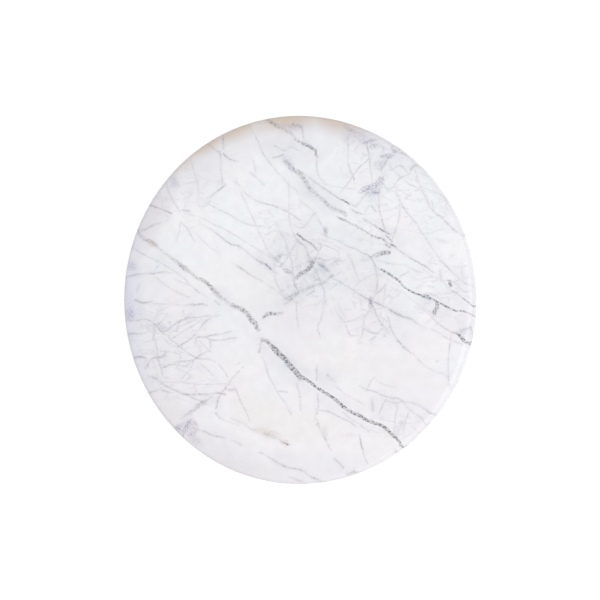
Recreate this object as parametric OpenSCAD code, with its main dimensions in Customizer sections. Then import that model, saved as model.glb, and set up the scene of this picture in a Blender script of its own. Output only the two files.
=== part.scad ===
// Lazy susan turntable. A round marble top turns on a ring bearing above a smaller marble base.
// Millimetres, +Z up. The origin is on the turning axis, at the level of the table.

/* [Marble top] */
// Diameter of the top
top_d = 305; // [280:1:400]
// Thickness of the top
top_t = 16; // [14:0.5:25]
// Radius of the top's upper edge
top_edge_r = 4; // [2:0.5:8]
// Radius of the top's lower edge
top_lower_edge_r = 3; // [1:0.5:4]

/* [Marble base] */
// Diameter of the base
base_d = 200; // [180:1:240]
// Thickness of the base
base_t = 15; // [13:0.5:20]
// Radius of the base's two edges
base_edge_r = 3; // [1:0.5:5]

/* [Bearing rings] */
// Diameter of the circle on which the balls run
pitch_d = 112; // [106:1:118]
// Gap between the facing walls of the two rings
ring_gap = 2.4; // [2:0.1:3]
// Width of the turning ring, from its bore to its race
turning_ring_w = 14.8; // [14:0.1:20]
// Width of the fixed ring, from its race to its rim
fixed_ring_w = 12.8; // [12:0.1:18]
// Height of each ring
ring_h = 8; // [7.5:0.1:10]
// How far the turning ring stands above the fixed ring
ring_step = 1; // [0.6:0.1:1.5]
// Chamfer on the rings' edges
ring_chamfer = 0.6; // [0.3:0.1:0.8]

/* [Balls and cage] */
// Diameter of a ball
ball_d = 4.76; // [4:0.01:5.2]
// Number of balls
ball_count = 24; // [16:1:24]
// Gap between a ball and the races
race_clearance = 0.05; // [0.02:0.01:0.1]
// Thickness of the cage
cage_w = 1.2; // [0.8:0.1:1.6]
// Height of the cage
cage_h = 6.4; // [6:0.1:6.8]
// Gap between a ball and its pocket
pocket_clearance = 0.15; // [0.05:0.01:0.25]
// Diameter of the plug that closes the hole where the balls go in
fill_plug_d = 5.4; // [5.3:0.1:6]
// Width across the flats of the plug's socket
fill_plug_hex = 2.5; // [2:0.1:3]
// Depth of the plug's socket, and of the plug's end below the ring's rim
fill_plug_recess = 1.5; // [0.5:0.1:2]

/* [Cushion rings] */
// Thickness of the cushion rings between metal and marble
cushion_t = 1; // [0.5:0.1:2]
// Distance from the edges of a ring to the edges of its cushion
cushion_inset = 1; // [0.6:0.1:2]

/* [Screws in the top] */
// Number of screws in each ring
screw_count = 4; // [3:1:6]
// Diameter of the top's screws
top_screw_d = 4; // [3.5:0.1:4.5]
// Diameter of the top's screw heads
top_head_d = 8; // [7:0.1:8.5]
// Width across the flats of the top screws' sockets
top_hex = 2.5; // [2:0.1:3]
// Distance from the turning ring's bore to its screws
top_screw_edge = 7.2; // [6.5:0.1:7.5]
// Outer diameter of the threaded inserts
insert_d = 6.5; // [6:0.1:8]
// Length of the threaded inserts
insert_h = 8; // [6:0.5:9]
// How far a screw stops short of the end of its insert
screw_short = 1; // [0.5:0.5:2]

/* [Screws in the base] */
// Diameter of the base's screws
base_screw_d = 5; // [4:0.1:5.5]
// Diameter of the base's screw heads
base_head_d = 9.5; // [9:0.1:11]
// Height of the base's screw heads
base_head_h = 2.8; // [2.5:0.1:3.2]
// Width across the flats of the base screws' sockets
base_hex = 3; // [2.5:0.1:4]
// Distance from the fixed ring's rim to its screws
base_screw_edge = 6; // [5:0.1:6.5]
// Depth to which a base screw goes into the fixed ring
ring_grip = 6; // [4:0.5:6.5]
// Diameter of the washers
washer_d = 15; // [12:0.5:16]
// Thickness of the washers
washer_t = 1.2; // [0.8:0.1:1.5]
// Depth of the holes that hide the base's screw heads
counterbore_depth = 5; // [4.8:0.1:6]

/* [Feet] */
// Number of feet
foot_count = 4; // [3:1:8]
// Diameter of a foot where it meets the base
foot_d = 20; // [16:0.5:24]
// Diameter of a foot where it meets the table
foot_tread_d = 17; // [12:0.5:19]
// Height of the feet below the base
foot_h = 5; // [3:0.5:10]
// Depth of the seats for the feet
foot_seat = 1.5; // [1:0.1:3]
// Distance from the base's rim to the middle of a foot
foot_edge = 16; // [14:0.5:17]

/* [Fits] */
// Gap around a screw in a threaded hole
thread_clearance = 0.05; // [0.02:0.01:0.1]
// Gap around a screw in a plain hole
hole_clearance = 0.5; // [0.3:0.1:1]
// Gap around an insert or a foot in its seat
seat_clearance = 0.15; // [0.05:0.01:0.3]

/* [Hidden] */
$fn = 96;
// Each cut passes this far beyond the surface that it goes through.
over = 1;
// Blind holes go this far past what they hold.
blind_gap = 1;
// Depth of the sockets in the screws' heads.
socket_depth = 1.6;
// Length and depth of the waist around each insert.
waist_h = 2;
waist_depth = 0.4;
// Diameter and depth of the hollow under each foot.
foot_hollow_d = 8;
foot_hollow_h = 0.8;
// Radius of the edge of a foot's tread.
foot_round = 1;

pitch_r = pitch_d / 2;
groove_r = ball_d / 2 + race_clearance;
turning_ring_r = pitch_r - ring_gap / 2;
turning_bore_r = turning_ring_r - turning_ring_w;
fixed_bore_r = pitch_r + ring_gap / 2;
fixed_ring_r = fixed_bore_r + fixed_ring_w;
top_screw_r = turning_bore_r + top_screw_edge;
base_screw_r = fixed_ring_r - base_screw_edge;
feet_r = base_d / 2 - foot_edge;

base_z = foot_h;
base_cushion_z = base_z + base_t;
fixed_ring_z = base_cushion_z + cushion_t;
turning_ring_z = fixed_ring_z + ring_step;
top_cushion_z = turning_ring_z + ring_h;
top_z = top_cushion_z + cushion_t;
ball_z = (turning_ring_z + fixed_ring_z + ring_h) / 2;

insert_z = top_z + seat_clearance;
washer_z = base_z + counterbore_depth - washer_t;
base_head_z = washer_z - base_head_h;

// The base's screws stand between the feet, and the fill hole stands between two screws.
foot_turn = 180 / foot_count;
fill_turn = 180 / screw_count;

ball_names = [for (i = [1:ball_count]) str("ball_", i)];
foot_names = [for (i = [1:foot_count]) str("foot_", i)];

// Copies its children around the turning axis.
module around(count, radius, turn = 0) {
    for (i = [0:count - 1])
        rotate([0, 0, turn + i * 360 / count])
            translate([radius, 0, 0])
                children();
}

// A disc with rounded edges, standing on z = 0.
module rounded_disc(r, h, upper_r, lower_r) {
    rotate_extrude()
        difference() {
            square([r, h]);
            translate([r - upper_r, h - upper_r]) edge_waste(upper_r);
            translate([r - lower_r, lower_r]) mirror([0, 1]) edge_waste(lower_r);
        }
}

// What a router takes off a square edge to leave it round.
module edge_waste(r) {
    difference() {
        square(r + over);
        circle(r);
    }
}

// A flat ring with chamfered edges, standing on z = 0.
module chamfered_ring(inner_r, outer_r, h, chamfer) {
    rotate_extrude()
        polygon([
            [inner_r + chamfer, 0], [outer_r - chamfer, 0],
            [outer_r, chamfer], [outer_r, h - chamfer],
            [outer_r - chamfer, h], [inner_r + chamfer, h],
            [inner_r, h - chamfer], [inner_r, chamfer]
        ]);
}

module ring(inner_r, outer_r, h) {
    rotate_extrude() translate([inner_r, 0]) square([outer_r - inner_r, h]);
}

// The path that the balls sweep, with their clearance.
module race() {
    translate([0, 0, ball_z]) rotate_extrude() translate([pitch_r, 0]) circle(groove_r);
}

// A hexagonal socket that opens downwards at z = 0.
module hex_socket(flats, depth) {
    translate([0, 0, -over])
        rotate([0, 0, 30])
            cylinder(d = flats / cos(30), h = depth + over, $fn = 6);
}

module top_screw_holes(d, h) {
    around(screw_count, top_screw_r) cylinder(d = d, h = h);
}

module base_screw_holes(d, h) {
    around(screw_count, base_screw_r) cylinder(d = d, h = h);
}

module marble_top() {
    color("whitesmoke")
        difference() {
            translate([0, 0, top_z]) rounded_disc(top_d / 2, top_t, top_edge_r, top_lower_edge_r);
            translate([0, 0, top_z - over])
                top_screw_holes(insert_d + 2 * seat_clearance, insert_h + blind_gap + over);
        }
}

module top_cushion() {
    color("dimgray")
        difference() {
            translate([0, 0, top_cushion_z])
                ring(turning_bore_r + cushion_inset, turning_ring_r - cushion_inset, cushion_t);
            translate([0, 0, top_cushion_z - over])
                top_screw_holes(top_screw_d + 2 * hole_clearance, cushion_t + 2 * over);
        }
}

// A brass sleeve with a waist, which the adhesive in its hole grips.
module insert() {
    difference() {
        cylinder(d = insert_d, h = insert_h);
        translate([0, 0, (insert_h - waist_h) / 2])
            ring(insert_d / 2 - waist_depth, insert_d / 2 + over, waist_h);
        translate([0, 0, -over])
            cylinder(d = top_screw_d + 2 * thread_clearance, h = insert_h + 2 * over);
    }
}

module top_inserts() {
    color("goldenrod") translate([0, 0, insert_z]) around(screw_count, top_screw_r) insert();
}

// A countersunk screw that points up, with the face of its head at z = 0.
module countersunk_screw() {
    length = insert_z + insert_h - screw_short - turning_ring_z;
    cone_h = (top_head_d - top_screw_d) / 2;
    difference() {
        union() {
            cylinder(d = top_screw_d, h = length);
            cylinder(d1 = top_head_d, d2 = top_screw_d, h = cone_h);
        }
        hex_socket(top_hex, socket_depth);
    }
}

module top_screws() {
    color("silver")
        translate([0, 0, turning_ring_z]) around(screw_count, top_screw_r) countersunk_screw();
}

// The countersink is the screw's head grown by the clearance, so that the head sits flush.
module countersink() {
    wide_d = top_head_d + 2 * thread_clearance;
    narrow_d = top_screw_d + 2 * thread_clearance;
    cylinder(d1 = wide_d, d2 = narrow_d, h = (wide_d - narrow_d) / 2);
    translate([0, 0, -over]) {
        cylinder(d = wide_d, h = over);
        cylinder(d = narrow_d, h = ring_h + 2 * over);
    }
}

module turning_ring() {
    color("lightgray")
        difference() {
            translate([0, 0, turning_ring_z])
                chamfered_ring(turning_bore_r, turning_ring_r, ring_h, ring_chamfer);
            race();
            translate([0, 0, turning_ring_z]) around(screw_count, top_screw_r) countersink();
        }
}

module ball_cage() {
    pocket_d = ball_d + 2 * pocket_clearance;
    color("ivory")
        translate([0, 0, ball_z])
            difference() {
                translate([0, 0, -cage_h / 2])
                    ring(pitch_r - cage_w / 2, pitch_r + cage_w / 2, cage_h);
                around(ball_count, pitch_r)
                    rotate([0, 90, 0])
                        cylinder(d = pocket_d, h = cage_w + 2 * over, center = true);
            }
}

module ball(i) {
    color("silver")
        rotate([0, 0, (i - 1) * 360 / ball_count])
            translate([pitch_r, 0, ball_z])
                sphere(d = ball_d);
}

module fixed_ring() {
    color("lightgray")
        difference() {
            translate([0, 0, fixed_ring_z])
                chamfered_ring(fixed_bore_r, fixed_ring_r, ring_h, ring_chamfer);
            race();
            translate([0, 0, fixed_ring_z - over])
                base_screw_holes(base_screw_d + 2 * thread_clearance, ring_grip + blind_gap + over);
            translate([0, 0, ball_z])
                rotate([0, 0, fill_turn])
                    translate([pitch_r, 0, 0])
                        rotate([0, 90, 0])
                            cylinder(d = fill_plug_d + 2 * thread_clearance, h = fixed_ring_r);
        }
}

// The plug stops short of the balls, and its socket opens at the ring's rim.
module fill_plug() {
    inner_end = pitch_r + groove_r + race_clearance;
    outer_end = fixed_ring_r - fill_plug_recess;
    color("dimgray")
        translate([0, 0, ball_z])
            rotate([0, 0, fill_turn])
                translate([outer_end, 0, 0])
                    rotate([0, -90, 0])
                        difference() {
                            cylinder(d = fill_plug_d, h = outer_end - inner_end);
                            hex_socket(fill_plug_hex, fill_plug_recess);
                        }
}

module base_cushion() {
    color("dimgray")
        difference() {
            translate([0, 0, base_cushion_z])
                ring(fixed_bore_r + cushion_inset, fixed_ring_r - cushion_inset, cushion_t);
            translate([0, 0, base_cushion_z - over])
                base_screw_holes(base_screw_d + 2 * hole_clearance, cushion_t + 2 * over);
        }
}

module marble_base() {
    color("whitesmoke")
        difference() {
            translate([0, 0, base_z]) rounded_disc(base_d / 2, base_t, base_edge_r, base_edge_r);
            translate([0, 0, base_z - over])
                base_screw_holes(base_screw_d + 2 * hole_clearance, base_t + 2 * over);
            translate([0, 0, base_z - over])
                base_screw_holes(washer_d + 2 * hole_clearance, counterbore_depth + over);
            translate([0, 0, base_z - over])
                around(foot_count, feet_r, foot_turn)
                    cylinder(d = foot_d + 2 * seat_clearance, h = foot_seat + over);
        }
}

// A round-headed screw that points up, with the underside of its head on the washer.
module button_screw() {
    length = base_head_h + washer_t + base_t - counterbore_depth + cushion_t + ring_grip;
    dome_r = (pow(base_head_d / 2, 2) + pow(base_head_h, 2)) / (2 * base_head_h);
    difference() {
        union() {
            translate([0, 0, base_head_h / 2]) cylinder(d = base_screw_d, h = length - base_head_h / 2);
            intersection() {
                translate([0, 0, dome_r]) sphere(r = dome_r);
                cylinder(d = base_head_d + over, h = base_head_h);
            }
        }
        hex_socket(base_hex, socket_depth);
    }
}

module base_screws() {
    color("silver") translate([0, 0, base_head_z]) around(screw_count, base_screw_r) button_screw();
}

module base_washers() {
    color("silver")
        translate([0, 0, washer_z])
            around(screw_count, base_screw_r)
                ring(base_screw_d / 2 + hole_clearance, washer_d / 2, washer_t);
}

// A rubber foot: its head sits in the base, and it tapers to a tread with a hollow.
module foot(i) {
    tread_r = foot_tread_d / 2;
    head_r = foot_d / 2;
    color("black")
        rotate([0, 0, foot_turn + (i - 1) * 360 / foot_count])
            translate([feet_r, 0, 0])
                rotate_extrude()
                    difference() {
                        polygon([
                            [0, 0], [tread_r, 0],
                            [tread_r, foot_round], [head_r, foot_h - foot_round],
                            [head_r, foot_h + foot_seat], [0, foot_h + foot_seat]
                        ]);
                        translate([tread_r - foot_round, foot_round]) mirror([0, 1]) edge_waste(foot_round);
                        square([foot_hollow_d / 2, foot_hollow_h]);
                    }
}

marble_top();
top_cushion();
top_inserts();
top_screws();
turning_ring();
ball_cage();
for (i = [1:ball_count])
    ball(i);
fixed_ring();
fill_plug();
base_cushion();
marble_base();
base_screws();
base_washers();
for (i = [1:foot_count])
    foot(i);
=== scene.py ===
"""The looks of a marble lazy susan: a veined marble top and base, a turned aluminium ring bearing,
rubber feet, and a plain white studio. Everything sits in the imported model's frame, in metres."""
import math

import bpy
from mathutils import Matrix, Vector


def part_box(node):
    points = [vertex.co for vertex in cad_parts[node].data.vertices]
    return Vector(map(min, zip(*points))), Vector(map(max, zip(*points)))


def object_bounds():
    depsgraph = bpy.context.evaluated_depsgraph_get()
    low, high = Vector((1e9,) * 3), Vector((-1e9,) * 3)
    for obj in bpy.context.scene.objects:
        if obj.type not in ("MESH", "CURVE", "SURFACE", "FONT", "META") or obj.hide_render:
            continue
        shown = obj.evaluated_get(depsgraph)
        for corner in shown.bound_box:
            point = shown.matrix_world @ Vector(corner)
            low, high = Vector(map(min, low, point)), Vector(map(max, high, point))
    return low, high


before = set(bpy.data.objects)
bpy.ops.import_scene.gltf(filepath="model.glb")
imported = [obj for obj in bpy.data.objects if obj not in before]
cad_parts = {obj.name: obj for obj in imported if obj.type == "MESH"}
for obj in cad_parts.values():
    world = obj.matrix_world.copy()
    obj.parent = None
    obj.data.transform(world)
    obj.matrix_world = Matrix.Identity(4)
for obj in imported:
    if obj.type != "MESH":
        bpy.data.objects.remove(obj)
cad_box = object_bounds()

MM = 0.001

# ---------------------------------------------------------------- camera, lights and floor
CAMERA_ELEVATION = 71.7    # degrees above the horizon, on the +X side, with +Y upwards in the picture
CAMERA_DISTANCE = 1.5
AIM_OFFSET = 4.15 * MM     # the aim lies this far towards the camera, which centres the outline
TOP_FILLS = 0.6124         # share of the picture's height that the top's diameter takes up
SENSOR = 36

KEY_WATTS = 20.2
KEY_SIZE = 2.2
KEY_DISTANCE = 2.0
KEY_DIRECTION = (0.75, -0.24, 1.00)  # from the object to the lamp
FILL = 0.72                # what the world gives to diffuse surfaces
FLOOR_SIZE = 6
FLOOR_GREY = 0.80
FLOOR_GLOW = 0.42          # what the camera sees of the floor where no light reaches it

# ---------------------------------------------------------------- marble
# The lists follow the photo's stone.
# Places are millimetres from VEIN_ORIGIN, with x to the right and y upwards in the picture.
# A vein is its half-width, then the points that it runs through, each with its darkness in tenths.
SOLID_VEINS = [
    (2.6, [(-30, -32, 1), (-25, -34, 3), (-21, -37, 3), (-18, -40, 9), (-14, -44, 8), (-9, -48, 5),
        (-5, -53, 10), (-1, -57, 9), (3, -61, 6), (5, -64, 3)]),
    (1.5, [(0, -58, 8), (5, -62, 10), (16, -69, 8), (25, -75, 10), (32, -79, 10), (41, -86, 10),
        (47, -90, 10), (53, -93, 10), (61, -97, 9), (69, -100, 10), (76, -103, 10), (84, -109, 10),
        (89, -114, 10), (94, -121, 10)]),
    (1.1, [(77, 24, 6), (83, 20, 10), (89, 16, 9), (92, 13, 6), (100, 7, 5), (105, 5, 4), (109, 4, 6),
        (112, 3, 9), (115, 2, 5), (121, -1, 3)]),
    (1.7, [(108, 4, 2), (110, 4, 9), (113, 3, 7), (115, 2, 1)]),
    (0.9, [(121, -1, 4), (127, -4, 5), (131, -6, 8), (136, -8, 6), (140, -8, 4), (144, -9, 3),
        (151, -12, 3), (154, -13, 4)]),
    (1.7, [(121, -1, 2), (121, -5, 10), (119, -9, 8), (119, -12, 2)]),
    (1.5, [(137, -26, 2), (140, -29, 5), (143, -32, 9), (149, -36, 8), (152, -38, 8)]),
    (0.7, [(135, 7, 2), (139, 4, 2), (143, 1, 3), (148, -3, 5), (154, -9, 8)]),
    (0.5, [(39, 83, 2), (42, 82, 9), (45, 80, 6), (47, 78, 2)]),
    (0.5, [(73, 58, 5), (76, 56, 9), (80, 54, 5)]),
]
SPECKLED_VEINS = [
    (2.3, [(-142, 60, 5), (-137, 54, 5), (-126, 48, 5), (-121, 44, 3), (-110, 36, 4), (-104, 32, 5),
        (-99, 28, 8), (-95, 25, 6), (-87, 19, 5), (-81, 17, 8), (-76, 13, 9), (-71, 8, 6), (-66, 4, 5),
        (-58, -2, 3)]),
    (2.8, [(-58, -2, 3), (-50, -6, 8), (-46, -8, 8), (-43, -10, 7), (-39, -15, 10), (-35, -19, 9),
        (-32, -24, 6)]),
    (3.1, [(-11, 119, 2), (-7, 114, 5), (-2, 109, 6), (4, 105, 6), (10, 97, 6), (13, 92, 5),
        (18, 87, 1)]),
    (2.6, [(13, 92, 2), (19, 87, 4), (25, 82, 5), (31, 77, 5), (37, 74, 5), (43, 71, 6)]),
    (1.4, [(40, 67, 7), (45, 65, 7), (51, 62, 5), (58, 58, 6), (63, 55, 5), (70, 51, 6), (75, 50, 9),
        (79, 47, 5), (84, 45, 6)]),
    (2.4, [(-26, 152, 7), (-17, 146, 7), (-10, 142, 4), (-3, 138, 4), (1, 133, 3)]),
    (1.9, [(0, 134, 4), (5, 131, 5), (8, 129, 8), (14, 126, 10), (18, 123, 9), (19, 119, 6)]),
    (1.2, [(-27, 31, 4), (-24, 29, 9), (-20, 26, 6)]),
    (1.0, [(3, 54, 7), (8, 50, 8), (14, 47, 4), (20, 42, 1)]),
    (1.8, [(-8, 1, 2), (-3, 4, 4), (3, 7, 2)]),
    (1.2, [(76, 46, 3), (80, 44, 7), (84, 42, 1)]),
    (1.0, [(78, 53, 4), (81, 50, 7), (84, 47, 4)]),
    (2.6, [(66, 36, 2), (71, 37, 6), (76, 39, 9), (81, 39, 7)]),
    (2.8, [(-38, -106, 1), (-30, -109, 2), (-24, -111, 4), (-20, -112, 3), (-14, -115, 2)]),
    (1.2, [(-14, -115, 3), (-9, -118, 6), (-6, -119, 9)]),
    (2.2, [(2, 19, 7), (5, 22, 10), (9, 24, 10), (13, 27, 10), (16, 31, 10)]),
    (2.0, [(-27, -14, 9), (-25, -12, 10), (-22, -11, 10), (-17, -11, 7), (-9, -10, 3)]),
    (3.0, [(-96, -97, 2), (-88, -91, 5), (-83, -87, 6), (-79, -86, 5)]),
    (1.8, [(131, 16, 10), (132, 11, 10)]),
]
HAIRLINES = [
    # Upper left.
    (0.5, [(-147, 46, 6), (-133, 38, 5), (-120, 32, 5), (-108, 25, 4), (-99, 19, 4), (-88, 9, 5),
        (-80, 4, 3)]),
    (0.5, [(-105, 17, 3), (-95, 13, 4), (-84, 7, 4), (-76, 2, 2)]),
    (0.6, [(-154, 20, 8), (-142, 22, 6), (-133, 23, 5), (-127, 23, 8), (-116, 24, 4), (-108, 23, 2)]),
    (0.5, [(-126, 24, 4), (-120, 31, 3)]),
    (0.5, [(-131, 82, 9), (-120, 78, 7), (-115, 76, 7), (-111, 74, 10)]),
    (0.5, [(-136, 59, 5), (-130, 62, 9), (-126, 64, 6), (-119, 66, 3)]),
    (0.5, [(-115, 101, 6), (-113, 94, 5), (-110, 87, 5), (-107, 82, 4), (-103, 76, 4)]),
    (0.5, [(-92, 118, 3), (-88, 105, 4), (-86, 98, 4), (-85, 88, 3)]),
    (0.5, [(-76, 131, 6), (-72, 128, 6), (-66, 123, 6)]),
    (0.5, [(-66, 124, 6), (-65, 117, 5), (-65, 108, 5), (-64, 100, 4)]),
    (0.5, [(-63, 123, 7), (-58, 119, 7), (-50, 116, 4)]),
    (0.8, [(-64, 139, 5), (-63, 127, 4)]),
    (0.6, [(-75, 86, 4), (-69, 91, 6), (-65, 94, 10), (-61, 97, 8)]),
    (0.6, [(-87, 85, 3), (-84, 79, 4), (-79, 79, 3)]),
    (0.5, [(-80, 79, 3), (-76, 81, 4), (-74, 87, 3)]),
    (0.5, [(-76, 81, 4), (-68, 77, 4), (-58, 72, 5), (-50, 67, 4), (-42, 64, 4), (-34, 62, 5),
        (-26, 61, 3)]),
    (0.5, [(-50, 97, 5), (-43, 89, 4), (-36, 84, 4), (-28, 81, 7), (-20, 79, 7), (-12, 76, 6),
        (-4, 72, 7), (2, 68, 6)]),
    (0.5, [(-49, 95, 4), (-45, 85, 4), (-40, 75, 4), (-35, 65, 4), (-32, 58, 4), (-27, 49, 4),
        (-22, 39, 3), (-18, 30, 3), (-17, 18, 2)]),
    (0.5, [(-41, 147, 4), (-36, 139, 3), (-32, 132, 5), (-29, 125, 5), (-25, 118, 5), (-19, 111, 4),
        (-12, 103, 4), (-4, 95, 4), (2, 90, 3)]),
    (0.5, [(-5, 98, 3), (-5, 85, 4), (-5, 70, 4), (-3, 59, 5), (1, 51, 5)]),
    (0.6, [(-26, 55, 4), (-17, 58, 5), (-12, 56, 6), (-9, 51, 5)]),
    (0.5, [(-78, 62, 3), (-70, 57, 6), (-63, 52, 7), (-57, 48, 8), (-52, 46, 10), (-49, 45, 8),
        (-42, 40, 6), (-33, 34, 7), (-25, 29, 10), (-20, 25, 8)]),
    (0.5, [(-80, 68, 3), (-70, 63, 4), (-60, 59, 4), (-50, 53, 4), (-42, 48, 3), (-33, 43, 4),
        (-23, 37, 3), (-14, 32, 3)]),
    (0.5, [(-101, 66, 4), (-95, 60, 5), (-89, 50, 4)]),
    (0.4, [(-88, 57, 2), (-75, 45, 3), (-67, 40, 3)]),
    (0.5, [(-102, 65, 4), (-103, 58, 4), (-106, 50, 3)]),
    (0.6, [(-51, 29, 5), (-44, 25, 9), (-40, 22, 8), (-27, 15, 3), (-14, 7, 3), (-6, 1, 4)]),
    (0.5, [(-18, 26, 3), (-17, 17, 4), (-12, 8, 4), (-9, 2, 4)]),
    (0.6, [(-100, 76, 5), (-93, 75, 5)]),
    (0.7, [(3, 54, 7), (8, 50, 10), (14, 47, 9), (20, 42, 7)]),
    # Lower left.
    (0.6, [(-142, -17, 5), (-133, -16, 6), (-127, -19, 7), (-123, -21, 8), (-118, -26, 9),
        (-110, -22, 6), (-104, -18, 9), (-99, -16, 8), (-93, -14, 7), (-85, -14, 5), (-78, -13, 5),
        (-72, -13, 5)]),
    (0.5, [(-72, -13, 4), (-78, -17, 6), (-83, -22, 6), (-88, -28, 7), (-92, -32, 6), (-97, -35, 8),
        (-103, -39, 8), (-110, -39, 4)]),
    (0.5, [(-119, -25, 6), (-114, -29, 4), (-109, -34, 5), (-103, -38, 5), (-97, -43, 5), (-90, -47, 7),
        (-83, -49, 7), (-73, -50, 4)]),
    (0.5, [(-84, -17, 4), (-92, -22, 5), (-99, -26, 5), (-107, -31, 4)]),
    (0.5, [(-89, -16, 4), (-98, -20, 4), (-105, -25, 4)]),
    (0.5, [(-86, -31, 5), (-79, -30, 9), (-72, -29, 7), (-65, -28, 5), (-57, -26, 5)]),
    (0.5, [(-80, -31, 6), (-73, -33, 7), (-65, -33, 5), (-53, -31, 5)]),
    (0.5, [(-84, -34, 4), (-79, -39, 5), (-74, -43, 4)]),
    (0.5, [(-76, -43, 3), (-74, -38, 5), (-76, -32, 3)]),
    (0.5, [(-98, -56, 5), (-92, -52, 7), (-87, -48, 8), (-78, -43, 4)]),
    (0.5, [(-102, -68, 5), (-97, -62, 5), (-92, -56, 5), (-90, -50, 5)]),
    (0.8, [(-133, -57, 6), (-129, -50, 6), (-122, -48, 9), (-116, -46, 9), (-115, -43, 5)]),
    (0.5, [(-125, -33, 4), (-123, -42, 6), (-122, -49, 6), (-119, -59, 6), (-118, -63, 5)]),
    (0.6, [(-117, -57, 7), (-110, -54, 6), (-103, -55, 5), (-95, -56, 5)]),
    (0.5, [(-106, -52, 4), (-95, -51, 7), (-87, -49, 6)]),
    (0.5, [(-84, -53, 3), (-78, -57, 4), (-72, -63, 3)]),
    (0.7, [(-127, -65, 5), (-119, -70, 6), (-113, -73, 6), (-104, -77, 6), (-97, -79, 9), (-88, -79, 8),
        (-78, -79, 5), (-66, -78, 8)]),
    (0.5, [(-119, -69, 4), (-105, -69, 4), (-88, -70, 4), (-70, -70, 4), (-60, -70, 4)]),
    (0.5, [(-118, -76, 6), (-110, -78, 5), (-104, -76, 5)]),
    (0.5, [(-132, -79, 8), (-125, -77, 5), (-118, -74, 4)]),
    (0.6, [(-97, -79, 8), (-91, -82, 6), (-83, -84, 5), (-77, -84, 6), (-74, -81, 5)]),
    (0.6, [(-69, -90, 7), (-68, -84, 8), (-66, -79, 7), (-61, -73, 8)]),
    (0.5, [(-62, -73, 6), (-57, -75, 6), (-52, -73, 6)]),
    (0.5, [(-53, -73, 7), (-50, -78, 5), (-47, -85, 5), (-43, -93, 5), (-40, -99, 4)]),
    (0.5, [(-59, -70, 4), (-54, -64, 4), (-49, -59, 4)]),
    (0.5, [(-67, -53, 3), (-59, -64, 4)]),
    (0.5, [(-101, -100, 5), (-97, -97, 4), (-92, -94, 3)]),
    (0.5, [(-88, -108, 7), (-80, -110, 7), (-72, -113, 7), (-63, -115, 7)]),
    (0.5, [(-56, -117, 5), (-52, -118, 6), (-47, -121, 4)]),
    (0.5, [(-69, -95, 6), (-65, -99, 5), (-57, -102, 3), (-50, -104, 3)]),
    (0.6, [(-56, -99, 2), (-50, -101, 3), (-43, -104, 3), (-36, -108, 5)]),
    (0.6, [(-27, -128, 5), (-19, -132, 5), (-12, -136, 7), (1, -139, 6), (6, -140, 6), (12, -144, 6),
        (18, -147, 9), (26, -150, 9)]),
    (0.5, [(-5, -146, 3), (8, -150, 4)]),
    (0.5, [(-27, -50, 4), (-24, -58, 5), (-22, -64, 4), (-17, -72, 4), (-13, -79, 5), (-8, -85, 4),
        (-4, -92, 5)]),
    (0.5, [(-15, -75, 4), (-6, -76, 5)]),
    (0.5, [(-29, -32, 6), (-30, -38, 8), (-31, -43, 8)]),
    (0.6, [(-154, -29, 9), (-146, -28, 7), (-133, -27, 4), (-124, -21, 5)]),
    (0.7, [(-150, -50, 7), (-139, -48, 9), (-134, -49, 6)]),
    (0.7, [(-143, 0, 7), (-136, -2, 8), (-128, -1, 7)]),
    (0.5, [(-126, -3, 3), (-110, -3, 4), (-98, -4, 4), (-91, -3, 5)]),
    (0.5, [(-91, -4, 6), (-82, -3, 7), (-78, -4, 4)]),
    (0.5, [(-71, 0, 5), (-66, -4, 6)]),
    (0.5, [(-139, 14, 3), (-142, 7, 4)]),
    (0.5, [(-124, 19, 4), (-114, 12, 3), (-104, 7, 4), (-95, 3, 3)]),
    # Middle.
    (0.5, [(-23, 40, 3), (-16, 34, 6), (-11, 30, 8)]),
    (0.5, [(-12, 29, 7), (-7, 34, 6), (-4, 40, 5), (1, 47, 4)]),
    (0.5, [(-9, 52, 5), (-7, 44, 5), (-4, 37, 6), (-2, 28, 6), (-1, 20, 5)]),
    (0.6, [(-1, 20, 8), (0, 13, 8), (3, 8, 6)]),
    (0.5, [(-2, 62, 5), (6, 60, 5), (12, 66, 4), (18, 72, 4)]),
    (0.8, [(3, 49, 9), (9, 44, 8), (12, 36, 7), (14, 31, 8)]),
    (0.5, [(15, 31, 7), (19, 23, 7), (22, 16, 7), (25, 9, 6), (27, -3, 4)]),
    (1.1, [(21, 30, 8), (25, 28, 10), (30, 24, 9)]),
    (0.6, [(13, 32, 7), (20, 35, 5), (27, 33, 4), (34, 34, 5), (39, 32, 5)]),
    (1.1, [(-7, -2, 5), (4, 7, 7), (11, 10, 7), (20, 13, 7), (27, 16, 6), (31, 19, 7)]),
    (0.6, [(11, 5, 7), (17, 8, 7)]),
    (0.5, [(5, 82, 3), (12, 77, 4), (18, 71, 4), (22, 64, 5), (26, 58, 6)]),
    (0.5, [(27, 53, 4), (38, 49, 4), (47, 44, 5), (53, 42, 6), (58, 39, 7), (63, 37, 8), (68, 31, 9),
        (72, 26, 6), (77, 23, 3)]),
    (0.5, [(2, -2, 4), (2, -12, 5), (3, -22, 4)]),
    (0.5, [(25, -3, 4), (23, -15, 5), (20, -22, 6), (22, -30, 3)]),
    (0.5, [(28, 0, 3), (24, -12, 3), (21, -20, 4)]),
    (0.5, [(32, 3, 3), (36, -8, 3), (44, -20, 4), (48, -28, 5), (56, -29, 3)]),
    (0.5, [(42, -18, 4), (52, -15, 4), (60, -12, 3)]),
    # Star on the right of the middle.
    (0.5, [(33, 18, 3), (39, 15, 5), (48, 10, 7), (57, 4, 7), (64, 0, 8)]),
    (0.8, [(64, 0, 8), (70, -2, 8), (77, -5, 6), (84, -9, 9), (90, -12, 10), (98, -15, 8),
        (105, -19, 5)]),
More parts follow.
